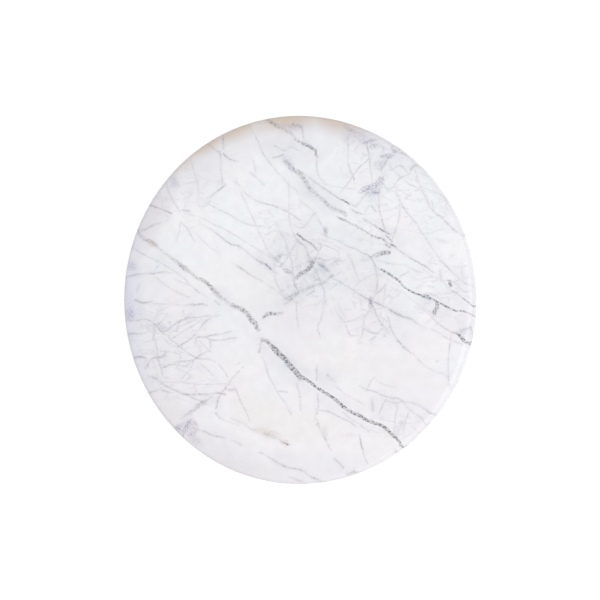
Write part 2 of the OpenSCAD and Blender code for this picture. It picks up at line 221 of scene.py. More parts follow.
    (0.5, [(66, -3, 5), (63, -9, 4), (60, -15, 6), (59, -22, 6), (58, -28, 4), (55, -33, 3)]),
    (0.5, [(66, -3, 8), (69, -10, 7), (73, -17, 7), (76, -21, 6), (80, -25, 4)]),
    (0.5, [(59, -23, 5), (65, -26, 6), (71, -27, 6), (75, -23, 7)]),
    (0.6, [(80, -14, 4), (82, -22, 6), (86, -29, 6), (90, -35, 9), (97, -41, 6), (104, -46, 4)]),
    (0.5, [(64, -33, 4), (70, -29, 5)]),
    (0.9, [(67, 0, 6), (70, 8, 5), (71, 16, 5), (70, 24, 4), (67, 33, 3)]),
    (0.5, [(70, 5, 5), (75, 9, 6), (78, 13, 4)]),
    (0.5, [(78, 13, 3), (77, 5, 4), (76, -3, 3)]),
    (0.5, [(46, 38, 3), (50, 30, 4), (53, 22, 5), (56, 16, 4)]),
    (0.5, [(57, 33, 3), (68, 33, 4), (84, 30, 4), (94, 29, 4)]),
    (0.5, [(94, 29, 4), (97, 25, 5), (90, 19, 5)]),
    (0.5, [(50, 10, 3), (57, 16, 3), (64, 20, 3), (77, 22, 3)]),
    (0.5, [(97, 27, 3), (103, 24, 4), (108, 23, 3)]),
    # Right, and lower right.
    (0.5, [(85, 44, 7), (90, 40, 7), (98, 35, 7), (108, 29, 8), (112, 27, 9), (116, 24, 9)]),
    (0.5, [(7, 105, 5), (17, 98, 5), (24, 93, 7), (32, 88, 7), (38, 84, 7), (42, 82, 10), (46, 80, 7),
        (52, 77, 5)]),
    (0.5, [(48, 75, 9), (53, 72, 8), (60, 70, 3)]),
    (0.6, [(60, 66, 6), (67, 62, 6), (73, 58, 10), (77, 56, 10), (81, 54, 8)]),
    (0.5, [(125, 31, 7), (132, 24, 6), (138, 19, 5), (144, 14, 5), (153, 11, 5)]),
    (0.5, [(104, -6, 3), (111, -9, 4), (117, -14, 5), (123, -19, 6), (130, -24, 6), (137, -27, 7)]),
    (0.5, [(84, 10, 3), (94, 5, 3), (104, -3, 3), (116, -10, 4)]),
    (0.5, [(96, -14, 3), (111, -22, 3), (118, -24, 4), (127, -29, 5), (133, -32, 5), (142, -35, 3)]),
    (0.9, [(141, -25, 9), (148, -21, 9), (151, -17, 7), (153, -12, 6)]),
    (0.5, [(126, 15, 3), (131, 9, 5), (137, 6, 4)]),
    (0.4, [(139, 10, 4), (144, 7, 4), (149, 8, 3)]),
    (0.5, [(132, -30, 6), (131, -42, 5), (130, -52, 5), (130, -61, 7), (131, -69, 4)]),
    (0.4, [(104, -46, 4), (110, -52, 3), (119, -57, 4), (128, -60, 5)]),
    (0.5, [(60, -72, 6), (68, -74, 5), (75, -77, 6), (83, -79, 6), (90, -80, 6), (94, -84, 6),
        (99, -89, 6), (107, -94, 5), (113, -102, 4)]),
    (0.6, [(78, -81, 4), (86, -83, 5), (94, -82, 4), (103, -84, 4), (109, -87, 6), (119, -92, 7)]),
    (0.5, [(78, -80, 6), (75, -86, 5), (72, -92, 4)]),
    (0.8, [(66, -80, 3), (67, -90, 4)]),
    (0.5, [(88, -86, 4), (86, -97, 4), (85, -107, 3)]),
    (0.5, [(97, -92, 4), (94, -99, 4), (92, -108, 3)]),
    (0.4, [(68, -62, 3), (72, -66, 4), (79, -69, 4), (86, -71, 2)]),
    (0.5, [(68, -63, 3), (64, -68, 4), (62, -73, 4)]),
    (0.7, [(19, -53, 3), (19, -65, 5)]),
    (0.8, [(28, -61, 5), (31, -64, 5), (35, -67, 4)]),
    (0.5, [(20, -78, 4), (20, -89, 5), (17, -99, 4)]),
    (0.5, [(20, -90, 6), (29, -91, 6), (38, -95, 5), (47, -99, 5), (53, -103, 3)]),
    (0.4, [(36, -71, 3), (44, -77, 4), (52, -81, 4), (58, -84, 3)]),
    (0.5, [(2, -70, 4), (4, -78, 6), (5, -90, 4)]),
    (0.5, [(43, -92, 4), (49, -97, 4), (63, -106, 4)]),
    (0.6, [(19, -98, 4), (21, -103, 4), (24, -110, 3), (27, -114, 5), (31, -122, 3)]),
    (0.6, [(56, -111, 5), (58, -119, 9), (60, -127, 6), (62, -132, 3)]),
    (0.7, [(34, -130, 5), (38, -133, 6), (42, -137, 7)]),
    (0.7, [(45, -142, 7), (50, -140, 8), (54, -140, 5)]),
    (0.5, [(86, -120, 4), (84, -127, 4)]),
    # Upper right, and the top.
    (0.5, [(46, 130, 5), (46, 114, 5), (48, 107, 8), (51, 100, 7)]),
    (0.5, [(40, 89, 3), (46, 96, 5), (52, 104, 6), (57, 110, 7), (63, 115, 7)]),
    (0.5, [(62, 127, 6), (64, 118, 7), (65, 108, 4), (66, 100, 4)]),
    (0.5, [(53, 77, 5), (58, 83, 6), (63, 88, 6)]),
    (0.5, [(72, 86, 6), (73, 73, 7), (75, 65, 7), (77, 58, 6)]),
    (0.5, [(80, 90, 5), (87, 87, 6), (91, 78, 6), (97, 70, 5), (103, 63, 5), (108, 55, 5), (114, 47, 4),
        (120, 38, 3), (126, 31, 3)]),
    (0.5, [(88, 84, 3), (90, 73, 4), (87, 59, 5), (83, 48, 5)]),
    (0.5, [(60, 72, 4), (64, 77, 3), (68, 78, 2)]),
    (0.5, [(66, 77, 4), (70, 72, 5)]),
    (0.8, [(74, 117, 6), (80, 118, 4), (83, 116, 3)]),
    (0.6, [(74, 106, 7), (77, 111, 6), (81, 117, 6)]),
    (1.0, [(82, 129, 9), (84, 122, 10), (90, 120, 8), (96, 119, 9)]),
    (0.9, [(99, 106, 8), (101, 108, 9), (105, 113, 8)]),
    (0.5, [(82, 106, 5), (90, 109, 6), (98, 103, 6)]),
    (0.5, [(98, 103, 6), (89, 98, 5), (84, 92, 5), (80, 89, 6)]),
    (0.5, [(88, 102, 4), (98, 94, 5), (107, 89, 5), (114, 79, 4), (118, 72, 5), (123, 68, 7),
        (130, 61, 9), (139, 54, 4), (147, 48, 2)]),
    (0.5, [(102, 106, 5), (106, 95, 5), (109, 88, 4), (114, 77, 5)]),
    (0.5, [(107, 93, 4), (118, 88, 4), (127, 82, 5), (128, 70, 4)]),
    (0.5, [(116, 80, 4), (120, 70, 5), (126, 67, 6)]),
    (0.5, [(19, 119, 5), (19, 108, 5), (21, 102, 5), (26, 96, 4)]),
    (0.4, [(26, 96, 3), (34, 94, 4), (43, 92, 3), (50, 91, 3)]),
    (0.9, [(-2, 146, 8), (4, 144, 8), (7, 142, 7)]),
    (0.5, [(6, 144, 5), (8, 133, 4)]),
    (0.5, [(-17, 128, 5), (-9, 124, 6), (-3, 127, 5), (4, 124, 4)]),
    (0.6, [(-19, 118, 6), (-15, 119, 6), (-10, 121, 6)]),
    (0.5, [(118, 50, 2), (131, 47, 2)]),
    (0.4, [(93, 57, 2), (112, 54, 3), (126, 57, 2)]),
    (0.5, [(-39, 107, 4), (-27, 96, 4)]),
    (0.5, [(-37, 117, 3), (-34, 107, 3)]),
]
# A stain is its middle, its two half-lengths, its turn in degrees and its strength in tenths.
PURPLE_STAINS = [
    (-96, -107, 9, 6, 30, 5), (69, 92, 9, 5, 40, 5), (56, 134, 14, 6, -28, 3), (62, 91, 7, 2.6, 22, 9),
    (71, 95, 7, 2.6, 62, 8), (66, 92, 8, 2.4, 40, 7), (69, 88, 4, 2.4, 0, 9), (75, 97, 2, 4, 0, 9),
    (-95, -104, 6, 2, 50, 10), (-104, -108, 4, 3, 20, 9), (-98, -109, 7, 2, 70, 8),
    (-91, -112, 5, 2, 30, 7), (-89, -103, 4, 2, -40, 6), (48, 140, 8, 3, -35, 5),
    (54, 134, 7, 3, -20, 4), (64, 130, 8, 2, 10, 8), (72, 126, 7, 2, -30, 4), (-5, 144, 8, 3, -20, 4),
    (27, 57, 2, 4, 0, 8), (-14, 36, 5, 2, 30, 7), (65, -2, 2, 6, 0, 9), (-6, 24, 5, 2, -25, 8),
    (80, 117, 6, 2, 10, 6), (86, 122, 5, 2, 60, 6), (26, -108, 3, 5, 0, 3), (-148, -12, 4, 6, 0, 7),
    (-146, 29, 4, 5, 0, 4), (-119, -22, 5, 3, -30, 5), (-108, 101, 7, 3, -45, 4),
    (-88, -118, 9, 4, -35, 4), (73, 111, 5, 3, 0, 5), (68, 126, 5, 3, 0, 6),
]
BLUE_STAINS = [
    (-5, 113, 4, 8, 30, 9), (-149, -4, 5, 14, 0, 7), (-147, -12, 6, 4, 0, 8), (-138, -10, 6, 5, 0, 4),
    (-148, 29, 5, 3, 0, 8), (-147, -31, 6, 6, 0, 6), (-128, -68, 6, 5, 0, 4), (-112, -22, 6, 4, 0, 4),
    (9, 129, 4, 3, 0, 6), (-66, 99, 4, 3, 0, 6), (142, -26, 5, 4, 0, 7), (114, 2, 6, 4, 0, 6),
    (-150, 10, 3, 10, 0, 5),
]
GREY_STAINS = [
    (57, 18, 32, 24, -20, 5), (15, 26, 20, 15, 0, 10), (-6, 44, 18, 14, 0, 6), (8, 44, 30, 24, 0, 4),
    (0, 0, 44, 40, 0, 4), (8, 22, 34, 30, 0, 5), (24, 24, 18, 18, 0, 8), (140, 2, 20, 30, 0, 4),
    (-96, -106, 16, 12, 0, 3), (76, -16, 26, 20, 0, 4), (30, -4, 26, 16, 0, 3),
    (-117, -40, 26, 30, 0, 3), (-88, 93, 20, 14, 0, 3), (0, 6, 16, 12, 20, 9), (78, -84, 16, 14, 0, 4),
    (-90, -92, 14, 9, 40, 4), (-90, 118, 30, 20, 30, 2), (-30, 25, 20, 9, -40, 3),
    (60, 132, 26, 13, -22, 5), (-60, -128, 40, 16, -15, 3), (100, 108, 18, 10, -40, 3),
    (-140, 36, 10, 26, 10, 3), (75, 35, 12, 8, 0, 4), (-76, -84, 10, 6, 0, 5), (0, -148, 26, 6, 0, 3),
    (82, 112, 18, 14, 0, 5), (-124, -50, 18, 18, 0, 6), (-2, 142, 12, 8, 0, 2),
    (-10, -50, 30, 12, -42, 5), (30, -80, 50, 12, -34, 3), (20, -140, 60, 16, 0, 3),
    (98, -82, 50, 34, -40, 2), (-132, 22, 20, 40, 0, 3), (-110, -62, 34, 40, 0, 2),
    (40, -14, 20, 14, 0, 4), (0, 124, 28, 12, 0, 5), (-22, 32, 16, 12, 0, 6), (-3, 16, 14, 14, 0, 6),
    (-143, -12, 12, 18, 0, 5), (-76, -116, 28, 12, -12, 4), (14, 92, 18, 10, -40, 5),
    (-145, 27, 9, 12, 0, 7), (-108, 101, 11, 8, -45, 6), (4, -61, 14, 10, -40, 7),
    (-5, -53, 12, 8, -42, 9), (82, 49, 12, 10, 0, 5), (28, 80, 14, 10, -35, 5), (124, -7, 10, 9, 0, 6),
    (-115, 34, 14, 9, -35, 4), (-138, -42, 10, 12, 0, 5), (-128, -17, 12, 8, 0, 5),
    (-62, 2, 13, 8, -40, 5), (46, 50, 16, 13, 0, 4), (27, -61, 12, 10, 0, 4), (-11, -4, 12, 10, 0, 5),
    (-12, -132, 14, 8, 0, 5), (90, -28, 22, 12, -10, 3), (67, 86, 10, 6, 0, 6),
    (112, -1, 10, 6, -20, 5), (73, 2, 7, 5, 0, 6), (60, 35, 7, 5, 0, 6), (46, 132, 8, 5, -30, 10),
    (-90, -8, 20, 20, 0, 2),
]
PALE_STAINS = [
    (-66, 74, 64, 66, 0, 7), (-38, 78, 24, 22, 0, 9), (-44, 12, 24, 16, 0, 6), (92, 88, 30, 20, -40, 5),
    (140, 30, 18, 40, 0, 6),
]
TEAL_STAINS = [
    (13, 88, 9, 5, -30, 8), (-4, 3, 6, 4, 30, 6), (-138, -33, 8, 9, 0, 4), (27, -63, 8, 7, 0, 3),
]
RUST_STAINS = [
    (-127, 48, 6, 3, -35, 8), (-98, 27, 5, 3, -35, 5), (-70, 7, 6, 3, -45, 7), (-138, 60, 4, 2, 0, 6),
    (-7, 24, 3, 2, 0, 7), (-24, -110, 12, 4, -12, 6), (-8, -118, 5, 3, -15, 7), (-56, -75, 6, 2, 0, 5),
    (47, -110, 6, 2, 0, 4), (78, -106, 8, 3, -40, 3),
]
SPECKS = [
    (20, -102, 1.8, 1.5, 0, 7), (26, -113, 1.5, 1.5, 0, 5), (121, -49, 1.5, 1.2, 0, 9),
    (129, -61, 1, 1, 0, 9), (-94, -51, 1.2, 1, 0, 9), (-100, -9, 1.2, 1, 0, 7),
    (75, -20, 2, 1.2, 30, 8), (77, -29, 1.5, 1, 0, 7), (-50, -53, 2, 1, 40, 5),
    (-46, -56, 1.5, 1, 0, 6), (-32, -37, 1, 1, 0, 8), (10, 46, 1, 1, 0, 6), (22, 46, 1.2, 1.5, 0, 7),
]
SAND_STAINS = [
    (-28, -94, 30, 16, -20, 9), (6, -104, 30, 14, 0, 8), (40, -12, 5, 3, 0, 10), (24, 44, 5, 3, 0, 6),
    (56, 1, 6, 3, -20, 5), (-30, 8, 34, 20, -30, 4), (50, -50, 50, 18, -10, 4), (5, 38, 9, 9, 0, 6),
]

# Painted shade along the rim: smoky patches, warm ones along the top, and cool ones at the left.
SMOKY_RIM_SHADE = [
    (-137, 79, 46, 24, 60, 8), (-79, 137, 50, 36, 30, 4), (-27, 156, 50, 30, 10, 4),
    (40, 154, 40, 22, -14, 4), (-121, -101, 60, 22, -50, 4), (-54, -148, 60, 20, -20, 4),
    (110, -116, 40, 8, 46, 3),
]
WARM_RIM_SHADE = [
    (-8, 166, 54, 28, 3, 10), (-58, 156, 46, 26, 21, 10), (-30, 160, 30, 26, 10, 7),
    (-82, 143, 40, 22, 30, 10), (-102, 130, 38, 22, 38, 8), (38, 160, 42, 24, -14, 10),
    (76, 144, 34, 12, -30, 6), (100, 124, 24, 8, -44, 4),
]
COOL_RIM_SHADE = [(-164, 4, 26, 60, 0, 9), (-152, 50, 14, 40, -18, 6), (-150, -46, 14, 36, 16, 7)]
WEB_PARTS = [
    (-112, -38, 34, 36, 0, 10), (100, 88, 34, 28, -40, 9), (14, 26, 34, 28, 0, 12),
    (66, -6, 30, 30, 0, 8), (84, -96, 26, 20, -20, 8), (64, 118, 26, 26, 0, 7),
    (-96, 86, 36, 26, 30, 6), (126, 10, 26, 40, 0, 7), (-10, 60, 34, 26, 0, 6),
    (-100, -72, 34, 14, 0, 8), (70, 60, 24, 26, 0, 6),
]

# Each web: size of its cells, how far they are drawn out, turn in degrees, half-width, patch size.
WEBS = [(12, 2.2, 38, 0.7, 11), (11, 2.6, -68, 0.6, 10), (20, 1.5, 20, 0.9, 14)]

VEIN_ORIGIN = (2.2, -0.4)  # where on the disc the listed places are measured from
VEIN_FADE = 0.08           # share of a vein's chord over which it fades beyond each end
VEINS_A_GROUP = 20         # how many veins one node group holds
STAIN_EDGE = 1.25          # a stain has faded out at this many half-lengths from its middle
# Each wandering: its size, how far it goes and its detail.
VEIN_WANDER = [(14, 0.9, 1), (1.8, 0.6, 2)]
VEIN_DIP = (0.45, -0.35)   # how far a vein moves sideways for each millimetre of depth
WARMING = 0.0012           # the stone turns warmer this fast towards -Y
STONE_IOR = 1.5
VEIN_DULLNESS = 0.16       # roughness that a vein adds to the polish
EASED_DULLNESS = 0.30      # roughness that the rounded edges add
WARM_SHADE_SKIN = 2             # the warm painted shade keeps its full strength down to this depth
WARM_SHADE_DEPTH = 8            # the warm painted shade has paled at this depth below the upper face
# The base is another part of the same block: its turn in degrees and its shift in millimetres.
BASE_CUT = (140, (23, -12, 0))

# Colours are linear.
BODY_COOL = (0.85, 0.855, 0.89, 1)
BODY_WARM = (0.868, 0.848, 0.874, 1)
SAND = (0.85, 0.832, 0.825, 1)
PALE = (0.93, 0.93, 0.955, 1)
GREY_CLOUD = (0.50, 0.50, 0.60, 1)
# The next three are the colours of painted shade along the rim: smoky, warm and cool.
RIM_SHADE_COLOUR = (0.60, 0.57, 0.60, 1)
WARM_SHADE_COLOUR = (0.62, 0.49, 0.38, 1)
COOL_SHADE_COLOUR = (0.70, 0.70, 0.80, 1)
# The painted shade on the rounded edges, which dims the lamp's highlight there.
EDGE_SHADE_COLOUR = (0.76, 0.76, 0.79, 1)
HAIR_COLOUR = (0.22, 0.20, 0.27, 1)
VEIN_COLOUR = (0.13, 0.13, 0.145, 1)
# How much of each colour shows where its pattern is strongest.
HAIR_STRENGTH = 0.54
SPECKLE_STRENGTH = 0.78
SOLID_STRENGTH = 0.92
WEB_STRENGTH = 0.55        # of the hairlines' strength
PALE_STRENGTH = 0.5
GREY_STRENGTH = 0.55
# How much of the smoky painted shade along the rim shows.
RIM_SHADE_STRENGTH = 0.7
# How much of the painted shade on the rounded edges shows.
EDGE_SHADE_STRENGTH = 0.25
# Each tint: its name, its stains, its colour and how much of it shows.
TINTS = [
    ("purple", PURPLE_STAINS, (0.20, 0.18, 0.33, 1), 0.85),
    ("blue", BLUE_STAINS, (0.42, 0.46, 0.66, 1), 0.55),
    ("teal", TEAL_STAINS, (0.45, 0.58, 0.58, 1), 0.35),
    ("rust", RUST_STAINS, (0.48, 0.26, 0.20, 1), 0.60),
    ("specks", SPECKS, (0.20, 0.20, 0.24, 1), 0.45),
]

# ---------------------------------------------------------------- plated steels
# Each finish: its light and dark tones, its roughness where it is smoothest, and its worn tone.
ZINC = ((0.70, 0.71, 0.73, 1), (0.56, 0.57, 0.60, 1), 0.22, (0.80, 0.80, 0.80, 1))
BLACK_OXIDE = ((0.085, 0.085, 0.09, 1), (0.045, 0.045, 0.048, 1), 0.34, (0.28, 0.27, 0.26, 1))


class Maker:
    """Adds nodes to one node tree and links them, a short call for each."""

    def __init__(self, tree):
        self.tree = tree

    def node(self, kind, inputs=None, **settings):
        node = self.tree.nodes.new(kind)
        for name, value in settings.items():
            setattr(node, name, value)
        for name, value in (inputs or {}).items():
            self.feed(node.inputs[name], value)
        return node

    def feed(self, socket, value):
        if isinstance(value, bpy.types.NodeSocket):
            self.tree.links.new(value, socket)
        else:
            socket.default_value = value

    def math(self, operation, a, b=0.0, c=0.0, clamp=False):
        inputs = {0: a, 1: b, 2: c}
        return self.node("ShaderNodeMath", inputs, operation=operation, use_clamp=clamp).outputs[0]

    def vector(self, operation, a, b=(0, 0, 0), c=(0, 0, 0)):
        node = self.node("ShaderNodeVectorMath", {0: a, 1: b, 2: c}, operation=operation)
        return node.outputs["Vector"]

    def dot(self, a, b):
        node = self.node("ShaderNodeVectorMath", {0: a, 1: b}, operation="DOT_PRODUCT")
        return node.outputs["Value"]

    def ramp(self, value, low, high, to_low=0.0, to_high=1.0, smooth=True):
        """The value carried from low..high to to_low..to_high, and held at the ends."""
        kind = "SMOOTHSTEP" if smooth else "LINEAR"
        inputs = {"Value": value, "From Min": low, "From Max": high}
        inputs |= {"To Min": to_low, "To Max": to_high}
        return self.node("ShaderNodeMapRange", inputs, interpolation_type=kind).outputs["Result"]

    def blend(self, factor, a, b, kind="MIX"):
        node = self.node("ShaderNodeMix", data_type="RGBA", blend_type=kind)
        self.feed(node.inputs[0], factor)
        self.feed(node.inputs[6], a)
        self.feed(node.inputs[7], b)
        return node.outputs[2]

    def noise(self, place, size, detail=2.0, roughness=0.5, output="Fac"):
        """Soft noise around a half, with features about size millimetres across."""
        inputs = {"Vector": place, "Scale": 1 / size, "Detail": detail, "Roughness": roughness}
        return self.node("ShaderNodeTexNoise", inputs).outputs[output]

    def cells(self, place, size, output="Distance", feature="F1"):
        inputs = {"Vector": place, "Scale": 1 / size}
        return self.node("ShaderNodeTexVoronoi", inputs, feature=feature).outputs[output]

    def curve(self, value, points):
        """A curve through points from 0 to 1, level before the first and after the last."""
        node = self.node("ShaderNodeFloatCurve", {"Value": value})
        node.mapping.extend = "HORIZONTAL"
        line = node.mapping.curves[0]
        line.points[0].location = points[0]
        line.points[1].location = points[-1]
        for point in points[1:-1]:
            line.points.new(*point)
        node.mapping.update()
        return node.outputs[0]


def grey(level):
    return (level, level, level, 1)


def new_group(name, inputs, outputs):
    """An empty node group, with its maker, its input sockets and its output node."""
    tree = bpy.data.node_groups.new(name, "ShaderNodeTree")
    for label, kind in inputs.items():
        tree.interface.new_socket(label, in_out="INPUT", socket_type=kind)
    for label, kind in outputs.items():
        tree.interface.new_socket(label, in_out="OUTPUT", socket_type=kind)
    make = Maker(tree)
    given = make.node("NodeGroupInput").outputs
    result = make.node("NodeGroupOutput")
    return tree, make, given, result


def new_material(name):
    """A material that holds nothing yet but its shader and its output."""
    material = bpy.data.materials.new(name)
    material.use_nodes = True
    material.node_tree.nodes.clear()
    make = Maker(material.node_tree)
    shader = make.node("ShaderNodeBsdfPrincipled")
    output = make.node("ShaderNodeOutputMaterial")
    make.feed(output.inputs["Surface"], shader.outputs[0])
    return material, make, shader


def millimetres(make):
    """The place on the piece in millimetres, which turns with the piece."""
    place = make.node("ShaderNodeTexCoord").outputs["Object"]
    return make.vector("MULTIPLY", place, (1 / MM,) * 3)


def coat(make, shader, color, dullness, metallic=0):
    """Gives the shader its colour, its roughness and how metallic it is."""
    make.feed(shader.inputs["Base Color"], color)
    make.feed(shader.inputs["Roughness"], dullness)
    shader.inputs["Metallic"].default_value = metallic


def relief(make, shader, height, distance):
    """Bumps the surface by height, where one means distance in millimetres."""
    inputs = {"Height": height, "Distance": distance * MM, "Strength": 1}
    make.feed(shader.inputs["Normal"], make.node("ShaderNodeBump", inputs).outputs["Normal"])


# ---------------------------------------------------------------- marble
# In these long chains every node takes its inputs as they are, with no Map Range, clamp or change of
# type: each of those would hold a place on the render's small shader stack.
def vein_shade(make, place, half_width, points, hazy):
    """How dark one vein makes a place: place is (x, y, 1), and the vein is a curve over its own chord.

    A hazy vein has a long soft flank. Any other ends at its half-width, with less than nothing beyond.
    """
    start, end = Vector(points[0][:2]), Vector(points[-1][:2])
    length = (end - start).length
    along = (end - start) / length
    across = Vector((-along.y, along.x))
    share = (1 - 2 * VEIN_FADE) / length
    stations = [VEIN_FADE + share * along.dot(Vector(point[:2]) - start) for point in points]
    offsets = [across.dot(Vector(point[:2]) - start) for point in points]
    reach = 1.1 * max(1.0, *(abs(offset) for offset in offsets))
    bends = [(s, 0.5 + offset / (2 * reach)) for s, offset in zip(stations, offsets)]
    darks = [(s, point[2] / 10) for s, point in zip(stations, points)]

    station = make.dot(place, (along.x * share, along.y * share, VEIN_FADE - share * along.dot(start)))
    aside_of = (across.x / half_width, across.y / half_width, (reach - across.dot(start)) / half_width)
    aside = make.dot(place, aside_of)
    bend = make.curve(station, [(0, 0.5), *bends, (1, 0.5)])
    dark = make.curve(station, [(0, 0), *darks, (1, 0)])
    gap = make.math("MULTIPLY_ADD", bend, -2 * reach / half_width, aside)
    square = make.math("MULTIPLY", gap, gap)
    if hazy:
        return make.math("DIVIDE", dark, make.math("ADD", square, 1))
    return make.math("MULTIPLY", dark, make.math("SUBTRACT", 1, square))


def vein_group(name, veins, hazy):
    """A node group that gives the darkest of some veins at a place."""
    sockets, results = {"Place": "NodeSocketVector"}, {"Shade": "NodeSocketFloat"}
    tree, make, given, result = new_group(name, sockets, results)
    shade = 0.0
    for half_width, points in veins:
        one = vein_shade(make, given["Place"], half_width, points, hazy)
        shade = make.math("MAXIMUM", one, shade)
    make.feed(result.inputs["Shade"], shade)
    return tree


def stain_group(name, stains):
    """A node group that gives the strongest of some soft ovals at a place, which is (x, y, 1)."""
    sockets, results = {"Place": "NodeSocketVector"}, {"Strength": "NodeSocketFloat"}
    tree, make, given, result = new_group(name, sockets, results)
    strength = 0.0
    for x, y, half_long, half_wide, turn, tenths in stains:
        middle = Vector((x, y))
        along = Vector((math.cos(math.radians(turn)), math.sin(math.radians(turn)))) / half_long
        across = Vector((-along.y, along.x)) * half_long / half_wide
        u = make.dot(given["Place"], (along.x, along.y, -along.dot(middle)))
        v = make.dot(given["Place"], (across.x, across.y, -across.dot(middle)))
        squares = make.math("MULTIPLY_ADD", u, u, make.math("MULTIPLY", v, v))
        oval = make.math("MULTIPLY_ADD", squares, -tenths / 10 / STAIN_EDGE**2, tenths / 10)
        strength = make.math("MAXIMUM", oval, strength)
    make.feed(result.inputs["Strength"], strength)
    return tree


def use_group(make, tree, place):
    return make.node("ShaderNodeGroup", {"Place": place}, node_tree=tree).outputs[0]


def drawn_veins(make, place, name, veins, hazy=False):
    """The darkest of a whole list of veins, taken in groups that stay small."""
    shade = 0.0
    for first in range(0, len(veins), VEINS_A_GROUP):
        tree = vein_group(f"{name}_{first}", veins[first:first + VEINS_A_GROUP], hazy)
        shade = make.math("MAXIMUM", use_group(make, tree, place), shade)
    return shade


def stains(make, place, name, ovals):
    return use_group(make, stain_group(name, ovals), place)


def warped(make, flat, solid):
    """Places pushed about a little, so that veins and stains wander and get ragged edges."""
    for size, push, detail in VEIN_WANDER:
        drift = make.noise(solid, size, detail, output="Color")
        drift = make.vector("MULTIPLY_ADD", drift, (2 * push, 2 * push, 0), (-push, -push, 0))
        flat = make.vector("ADD", flat, drift)
    return flat


def fine_web(make, line, solid):
    """Webs of fine cracks between the drawn veins, in parts of the stone only and broken by noise."""
    web = 0.0
    for size, stretch, turn, half_width, patch in WEBS:
        inputs = {"Vector": line, "Rotation": (0, 0, math.radians(turn)), "Scale": (1 / stretch, 1, 1)}
        cell_place = make.node("ShaderNodeMapping", inputs).outputs["Vector"]
        edge = make.cells(cell_place, size, feature="DISTANCE_TO_EDGE")
        thread = make.ramp(edge, half_width / size, 0.0)
        kept = make.ramp(make.noise(solid, patch, 3, 0.6), 0.44, 0.62)
        web = make.math("MAXIMUM", make.math("MULTIPLY", thread, kept), web)
    return make.math("MULTIPLY", web, stains(make, line, "web", WEB_PARTS))


def stone_body(make, line, solid):
    """The body of the stone: cool and warm clouds, sandy, pale and grey patches, and a fine mottle."""
    broad = make.noise(solid, 42, 3, 0.5)
    clouds = make.math("MULTIPLY_ADD", make.dot(line, (0, 1, 0)), -WARMING, broad)
    color = make.blend(make.ramp(clouds, 0.38, 0.62), BODY_COOL, BODY_WARM)
    color = make.blend(stains(make, line, "sand", SAND_STAINS), color, SAND)
    paleness = make.math("MULTIPLY", stains(make, line, "pale", PALE_STAINS), PALE_STRENGTH)
    color = make.blend(paleness, color, PALE)
    smudge = make.ramp(make.noise(solid, 4.5, 3, 0.6), 0.35, 0.7, 0.35, 1)
    greyness = make.math("MULTIPLY", stains(make, line, "grey", GREY_STAINS), smudge)
    color = make.blend(make.math("MULTIPLY", greyness, GREY_STRENGTH), color, GREY_CLOUD)
    mottle = make.ramp(make.noise(solid, 9, 5, 0.62), 0.3, 0.7, 0.968, 1.02)
    return make.blend(1.0, color, mottle, "MULTIPLY")


def rim_shading(make, color, line, steady, solid):
    """Painted shade along the rim: smoky, warm along the top and cool at the left. The warm painted shade
    pales down the edge.
    """
    depth = make.ramp(make.dot(solid, (0, 0, 1)), -WARM_SHADE_DEPTH, -WARM_SHADE_SKIN, 0.4, 1)
    warm_shade = make.math("MULTIPLY", stains(make, steady, "warm_shade", WARM_RIM_SHADE), depth)
    rim_shade = make.math("MAXIMUM", warm_shade, stains(make, line, "rim_shade", SMOKY_RIM_SHADE))
    # Smoky painted shade, also under the warm painted shade.
    color = make.blend(make.math("MULTIPLY", rim_shade, RIM_SHADE_STRENGTH), color, RIM_SHADE_COLOUR)
    # Warm painted shade along the top.
    color = make.blend(make.math("POWER", make.math("MULTIPLY", warm_shade, 1.2), 3), color, WARM_SHADE_COLOUR)
    # Cool painted shade at the left.
    return make.blend(stains(make, line, "cool_rim_shading", COOL_RIM_SHADE), color, COOL_SHADE_COLOUR)


def vein_tints(make, color, line, solid):
    """Colour in and beside the veins, broken up by noise."""
    for name, ovals, tint, most in TINTS:
        broken = make.ramp(make.noise(solid, 1.5, 3, 0.7), 0.40, 0.62, 0.15, 1)
        spread = make.math("MULTIPLY", stains(make, line, name, ovals), broken)
        color = make.blend(make.math("MULTIPLY", spread, most), color, tint)
    return color


def hairlines(make, line, solid, grain):
    """The hairline cracks and the webs between them, stronger and weaker by patches and by grain."""
    web = fine_web(make, line, solid)
    hair = drawn_veins(make, line, "hairlines", HAIRLINES, hazy=True)
    hair = make.math("MULTIPLY", hair, make.ramp(make.noise(solid, 7, 3, 0.65), 0.36, 0.60, 0.55, 1.2))
    hair = make.math("MAXIMUM", hair, make.math("MULTIPLY", web, WEB_STRENGTH))
    return make.math("MULTIPLY", hair, make.ramp(grain, 0.30, 0.70, 0.62, 1.35))


def speckled_veins(make, line, grain):
    """Loose grains on a faint grey ground."""
    shade = drawn_veins(make, line, "speckled", SPECKLED_VEINS)
    grains = make.ramp(make.math("MULTIPLY_ADD", shade, 0.08, grain), 0.50, 0.68)
    return make.math("MULTIPLY", make.ramp(shade, 0, 0.8), make.math("MULTIPLY_ADD", grains, 0.70, 0.30))


def solid_veins(make, line, grain):
    """Grey with dark flecks, which crowd towards a vein's two edges."""
    shade = drawn_veins(make, line, "solid", SOLID_VEINS)
    flecks = make.ramp(make.math("MULTIPLY_ADD", shade, -0.06, grain), 0.40, 0.56)
    return make.math("MULTIPLY", make.ramp(shade, 0, 0.45), make.math("MULTIPLY_ADD", flecks, 0.70, 0.30))


def inlaid(make, color, shade, strength, tint):
    """The colour with a pattern of veins laid into it."""
    return make.blend(make.math("MULTIPLY", shade, strength, clamp=True), color, tint)


